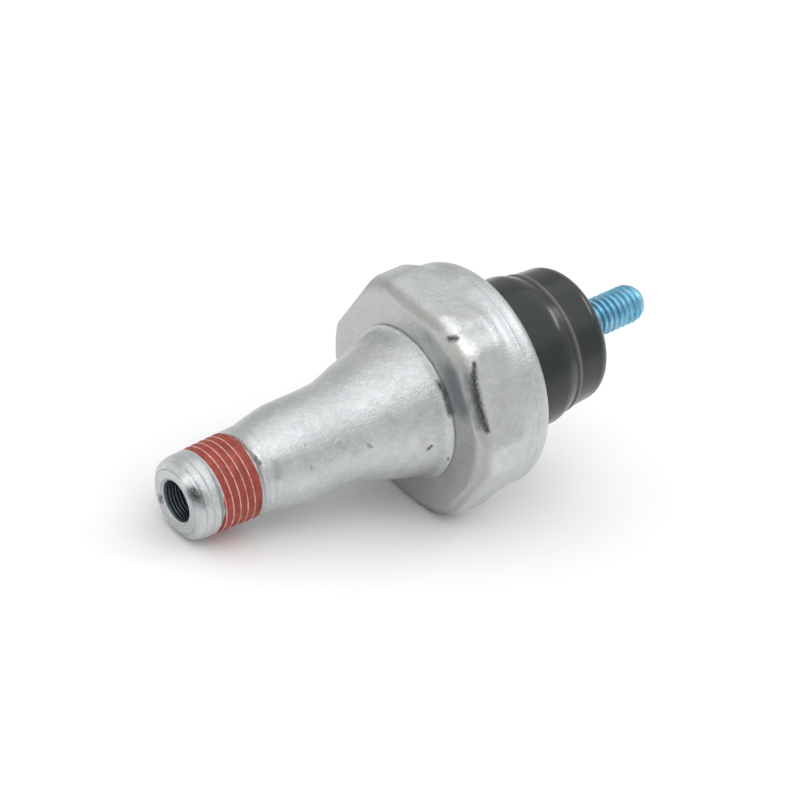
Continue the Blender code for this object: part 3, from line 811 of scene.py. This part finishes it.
def plate_tone(tree, coords, cloud, lightness):
    """Cloudy grey with pale flecks painted as glints, dark pores and a fine mottle."""
    tones = [(stop, tuple(part * lightness for part in colour)) for stop, colour in PLATE_TONES]
    # Pale flecks painted as glints
    glint_fleck = ramp(tree, noise(tree, coords, 2600, 2.0, 0.7), [(0.60, grey(0)), (0.76, grey(0.42))])
    pore = ramp(tree, noise(tree, coords, 1500, 5.0, 0.75), [(0.28, grey(0.4)), (0.42, grey(0))])
    mottle = noise(tree, coords, 1300, 6.0, 0.8)
    pale = ramp(tree, mottle, [(0.52, grey(0)), (0.72, grey(0.40))])
    dark = ramp(tree, mottle, [(0.28, grey(0.45)), (0.47, grey(0))])
    tone = mix(tree, glint_fleck, ramp(tree, cloud, tones), GLINT_FLECK_TONE)
    tone = mix(tree, pore, tone, PORE_TONE)
    tone = mix(tree, pale, tone, PALE_MOTTLE_TONE)
    return mix(tree, dark, tone, DARK_MOTTLE_TONE)


def zinc(name, lightness, stains, worn):
    """Satin zinc plate: brown stains over one stretch of the axis, dirt on the tip's face edge, painted shade in
    the shell's crease and inside the oil passage, and marks, many of them painted highlights, painted shade and
    painted dark reflections.
    """
    made, tree, shader = new_material(name)
    coords = axis_coords(tree)
    height = parts_of(tree, coords)["Z"]
    cloud = noise(tree, coords, 320, 5.0, 0.65)
    grain = noise(tree, coords, 3400, 3.0, 0.6)
    tone = plate_tone(tree, coords, cloud, lightness)

    blotch = ramp(tree, noise(tree, coords, 620, 6.0, 0.75), [(0.50, grey(0)), (0.75, grey(0.6))])
    tone = mix(tree, maths(tree, "MULTIPLY", band(tree, height, *stains), blotch), tone, STAIN_TONE)
    # Painted highlights, laid in where the table of marks lists them
    lightened = marks(tree, coords, worn["highlights"], noise(tree, coords, 2600, 2.0, 0.7), 0.9, 1.1)
    tone = mix(tree, lightened, tone, PAINTED_HIGHLIGHT_TONE)

    # Painted shade in the crease behind the shell's front
    crease = maths(tree, "MULTIPLY", band(tree, height, CREASE_HEIGHT, CREASE_HALF_WIDTH), cloud)
    tone = mix(tree, ramp(tree, crease, [(0.0, grey(0)), (0.40, grey(0.85))]), tone, CREASE_SHADE_TONE)
    edge = maths(tree, "MULTIPLY", band(tree, height, FACE_EDGE_HEIGHT, FACE_EDGE_HALF_WIDTH), cloud)
    tone = mix(tree, ramp(tree, edge, [(0.20, grey(0)), (0.55, grey(0.75))]), tone, FACE_EDGE_TONE)

    # Stains, painted shade and painted dark reflections from the table of marks
    shade = marks(tree, coords, worn["shade"], noise(tree, coords, 1200, 3.0, 0.6), 0.75, 0.6)
    tone = mix(tree, shade, tone, SHADE_TONE)
    # Nicks, spots and painted dark reflections from the table of marks
    dark = marks(tree, coords, worn["dark"], noise(tree, coords, 4200, 4.0, 0.7), 0.95, 1.8)
    tone = mix(tree, dark, tone, DARK_TONE)
    # Painted shade inside the oil passage
    tone = mix(tree, within_bore(tree, coords), tone, BORE_SHADE_TONE)

    tree.links.new(tone, shader.inputs["Base Color"])
    shader.inputs["Metallic"].default_value = 0.88
    rough = ramp(tree, noise(tree, coords, 620, 5.0, 0.65), [(0.3, grey(0.33)), (0.7, grey(0.44))])
    tree.links.new(rough, shader.inputs["Roughness"])
    lines = noise(tree, stretched(tree, coords, (1.0, 1.0, 9.0)), 900, 3.0, 0.6)
    relief = maths(tree, "ADD", maths(tree, "MULTIPLY", grain, 1.1), maths(tree, "MULTIPLY", lines, 0.4))
    relief = maths(tree, "ADD", relief, maths(tree, "MULTIPLY", cloud, 0.9))
    bump(tree, shader, relief, 0.65, 0.09 * MM)
    return made


# Sealant, plastic and the stud's blue plate

# The sealant is paler along the thread's crests up to this height, over this share of a turn
LAST_PALE_CREST = 7.62
PALE_CREST_WIDTH = 0.20
# Height and half width of the bead's lighter band, a worn edge with a painted highlight
CAP_BEAD_HEIGHT = 51.0
CAP_BEAD_HALF_WIDTH = 0.42


def crest_share(tree, coords, width):
    """1 along the pipe thread's crest, and down to 0 at that share of a turn away."""
    x, y, height = parts_of(tree, coords)
    angle = maths(tree, "ARCTAN2", y, x)
    around = maths(tree, "DIVIDE", maths(tree, "SUBTRACT", angle, VIEWER_ANGLE), 2 * math.pi)
    turns = maths(tree, "DIVIDE", maths(tree, "SUBTRACT", height, PIPE_PHASE * MM), PIPE_PITCH * MM)
    turn = maths(tree, "SUBTRACT", turns, around)
    away = maths(tree, "ABSOLUTE", maths(tree, "SUBTRACT", turn, maths(tree, "ROUND", turn)))
    return falloff(tree, away, width)


def red_sealant():
    made, tree, shader = new_material("sealant_red")
    coords = axis_coords(tree)
    tones = [(0.3, (0.22, 0.028, 0.018)), (0.7, (0.41, 0.066, 0.040))]
    tone = ramp(tree, noise(tree, coords, 900, 5.0, 0.6), tones)
    chips = ramp(tree, noise(tree, coords, 2100, 3.0, 0.7), [(0.66, grey(0)), (0.80, grey(0.6))])
    tone = mix(tree, chips, tone, (0.60, 0.34, 0.30))
    # Paler along the crests
    crest = crest_share(tree, coords, PALE_CREST_WIDTH)
    lightened = maths(tree, "MULTIPLY", crest, noise(tree, coords, 1300, 5.0, 0.8))
    within = maths(tree, "LESS_THAN", parts_of(tree, coords)["Z"], LAST_PALE_CREST * MM)
    lightened = maths(tree, "MULTIPLY", lightened, within)
    tone = mix(tree, ramp(tree, lightened, [(0.24, grey(0)), (0.52, grey(0.85))]), tone, (0.78, 0.56, 0.52))
    tree.links.new(tone, shader.inputs["Base Color"])
    shader.inputs["Roughness"].default_value = 0.52
    bump(tree, shader, noise(tree, coords, 2200, 4.0, 0.6), 0.35, 0.08 * MM)
    return made


def black_plastic():
    made, tree, shader = new_material("cap_black")
    coords = axis_coords(tree)
    tones = [(0.3, (0.015, 0.019, 0.019)), (0.75, (0.024, 0.029, 0.029))]
    tone = ramp(tree, noise(tree, coords, 500, 4.0, 0.6), tones)
    dust = ramp(tree, noise(tree, coords, 5200, 2.0, 0.5), [(0.74, grey(0)), (0.82, grey(0.25))])
    tone = mix(tree, dust, tone, (0.25, 0.25, 0.24))
    # Lighter band along the bead: a worn edge with a painted highlight
    bead = band(tree, parts_of(tree, coords)["Z"], CAP_BEAD_HEIGHT, CAP_BEAD_HALF_WIDTH)
    tone = mix(tree, maths(tree, "MULTIPLY", bead, 0.8), tone, (0.17, 0.16, 0.15))
    tree.links.new(tone, shader.inputs["Base Color"])
    rough = ramp(tree, noise(tree, coords, 900, 4.0, 0.6), [(0.3, grey(0.20)), (0.75, grey(0.26))])
    tree.links.new(rough, shader.inputs["Roughness"])
    shader.inputs["Specular IOR Level"].default_value = 0.42
    bump(tree, shader, noise(tree, coords, 500, 2.0, 0.5), 0.03, 0.05 * MM)
    return made


def blue_zinc():
    made, tree, shader = new_material("stud_blue")
    coords = axis_coords(tree)
    tones = [(0.3, (0.13, 0.38, 0.56)), (0.55, (0.23, 0.52, 0.70)), (0.75, (0.40, 0.67, 0.79))]
    tree.links.new(ramp(tree, noise(tree, coords, 800, 4.0, 0.6), tones), shader.inputs["Base Color"])
    shader.inputs["Metallic"].default_value = 0.85
    rough = ramp(tree, noise(tree, coords, 1500, 3.0, 0.6), [(0.3, grey(0.26)), (0.7, grey(0.38))])
    tree.links.new(rough, shader.inputs["Roughness"])
    bump(tree, shader, noise(tree, coords, 2600, 3.0, 0.6), 0.05, 0.04 * MM)
    return made


# Finishes of the pieces inside: two tones, metallic and roughness

INNER_FINISHES = {
    "shell_gasket": ((0.018, 0.018, 0.018), (0.035, 0.034, 0.033), 0.0, 0.68),
    "diaphragm": ((0.36, 0.16, 0.04), (0.50, 0.26, 0.09), 0.0, 0.42),
    "clamp_ring": ((0.42, 0.42, 0.42), (0.56, 0.56, 0.56), 0.95, 0.38),
    "pressure_plate": ((0.46, 0.46, 0.47), (0.60, 0.60, 0.61), 0.95, 0.36),
    "push_pin": ((0.66, 0.63, 0.53), (0.78, 0.75, 0.66), 0.0, 0.48),
    "ground_contact": ((0.62, 0.43, 0.15), (0.78, 0.58, 0.26), 0.95, 0.34),
    "contact_disc": ((0.70, 0.69, 0.65), (0.84, 0.83, 0.79), 0.95, 0.28),
    "spring_seat": ((0.60, 0.42, 0.15), (0.76, 0.56, 0.25), 0.95, 0.36),
    "cap_seal": ((0.02, 0.02, 0.02), (0.04, 0.04, 0.04), 0.0, 0.66),
}
SPRING_FINISH = ((0.26, 0.26, 0.27), (0.42, 0.42, 0.43), 0.95, 0.3)


def inner_finish(name, low, high, metallic, roughness):
    """A finish for an inner piece: two tones, uneven gloss and a fine relief."""
    made, tree, shader = new_material(name)
    coords = axis_coords(tree)
    cloud = noise(tree, coords, 900, 4.0, 0.6)
    tree.links.new(ramp(tree, cloud, [(0.3, low), (0.7, high)]), shader.inputs["Base Color"])
    shader.inputs["Metallic"].default_value = metallic
    spread = [(0.3, grey(roughness - 0.06)), (0.7, grey(roughness + 0.06))]
    tree.links.new(ramp(tree, cloud, spread), shader.inputs["Roughness"])
    bump(tree, shader, noise(tree, coords, 2250, 3.0, 0.6), 0.15, 0.05 * MM)
    return made


def finish_inner_nodes():
    for name, finish in INNER_FINISHES.items():
        node = frame["nodes"][name]
        node.data.materials.clear()
        node.data.materials.append(inner_finish(name + "_finish", *finish))


# Floor, light and camera

FLOOR_HALF = 1.2
LIGHT_AIM_HEIGHT = 0.015

# Place, size and power of each soft light
SOFTBOXES = {
    "overhead": ((0.0, -0.05, 0.70), (1.6, 1.2), 3.6),
    "key": ((-0.22, -0.22, 0.66), (0.40, 0.36), 0.42),
    "left": ((-0.75, 0.10, 0.30), (0.40, 0.40), 0.45),
    "right": ((0.60, -0.05, 0.50), (0.32, 0.10), 0.75),
}
SURROUND_STRENGTH = 0.66

# The camera's right, down and forward directions as parts of the axis, of the direction across it
# in the image and of the direction to the viewer
CAMERA_RIGHT = (0.7914, 0.4020, 0.4606)
CAMERA_DOWN = (-0.3474, 0.9157, -0.2022)
CAMERA_FORWARD = (0.5030, 0.0, -0.8643)
CAMERA_DISTANCE = 477.5
CAMERA_AIM = 31.4
CAMERA_ASIDE = (0.0805, 0.333)
CAMERA_LENS = 189.0
CAMERA_SENSOR = 36.0


def make_floor():
    mesh = bpy.data.meshes.new("floor")
    corners = [(-1, -1), (1, -1), (1, 1), (-1, 1)]
    mesh.from_pydata([(FLOOR_HALF * x, FLOOR_HALF * y, 0.0) for x, y in corners], [], [(0, 1, 2, 3)])
    floor = add_object("floor", mesh)
    made, _, shader = new_material("floor_pale")
    shader.inputs["Base Color"].default_value = (0.94, 0.94, 0.94, 1)
    shader.inputs["Roughness"].default_value = 0.9
    mesh.materials.append(made)


def view_directions():
    """The camera's right, down and forward directions in the frame."""
    turn = math.radians(VIEW_TURN)
    down = Vector((ALONG.z, 0, -ALONG.x))
    side = Vector((0, -1, 0))
    across = math.cos(turn) * down - math.sin(turn) * side
    toward = math.sin(turn) * down + math.cos(turn) * side
    made = []
    for a, v, w in (CAMERA_RIGHT, CAMERA_DOWN, CAMERA_FORWARD):
        made.append((a * ALONG + v * across + w * toward).normalized())
    return made


def make_camera():
    right, below, forward = view_directions()
    aim = TIP + ALONG * CAMERA_AIM * MM
    aside = right * CAMERA_ASIDE[0] * MM + below * CAMERA_ASIDE[1] * MM
    data = bpy.data.cameras.new("camera")
    data.lens = CAMERA_LENS
    data.sensor_width = CAMERA_SENSOR
    data.clip_start = 0.02
    camera = add_object("camera", data)
    turn = Matrix((right, -below, -forward)).transposed().to_4x4()
    camera.matrix_world = Matrix.Translation(aim - forward * CAMERA_DISTANCE * MM - aside) @ turn
    bpy.context.scene.camera = camera


def make_light():
    world = bpy.data.worlds.new("studio")
    bpy.context.scene.world = world
    world.use_nodes = True
    back = world.node_tree.nodes["Background"]
    back.inputs["Color"].default_value = (1, 1, 1, 1)
    back.inputs["Strength"].default_value = SURROUND_STRENGTH
    target = Vector((0, 0, LIGHT_AIM_HEIGHT))
    for name, (where, size, power) in SOFTBOXES.items():
        data = bpy.data.lights.new(name, "AREA")
        data.shape = "RECTANGLE"
        data.size, data.size_y = size
        data.energy = power
        lamp = add_object(name, data)
        lamp.location = where
        lamp.rotation_mode = "QUATERNION"
        lamp.rotation_quaternion = (target - Vector(where)).to_track_quat("-Z", "Y")


def main():
    make_port_body(zinc("zinc_body", 0.92, (28.5, 6.0), BODY_MARKS))
    make_sealant(red_sealant())
    make_hex_shell(zinc("zinc_shell", 0.92, (36.0, 2.0), SHELL_MARKS))
    make_cap(black_plastic())
    make_stud(blue_zinc())
    make_spring(inner_finish("spring_finish", *SPRING_FINISH))
    finish_inner_nodes()
    make_floor()
    make_light()
    make_camera()
    bpy.context.scene.view_settings.view_transform = "Standard"


main()
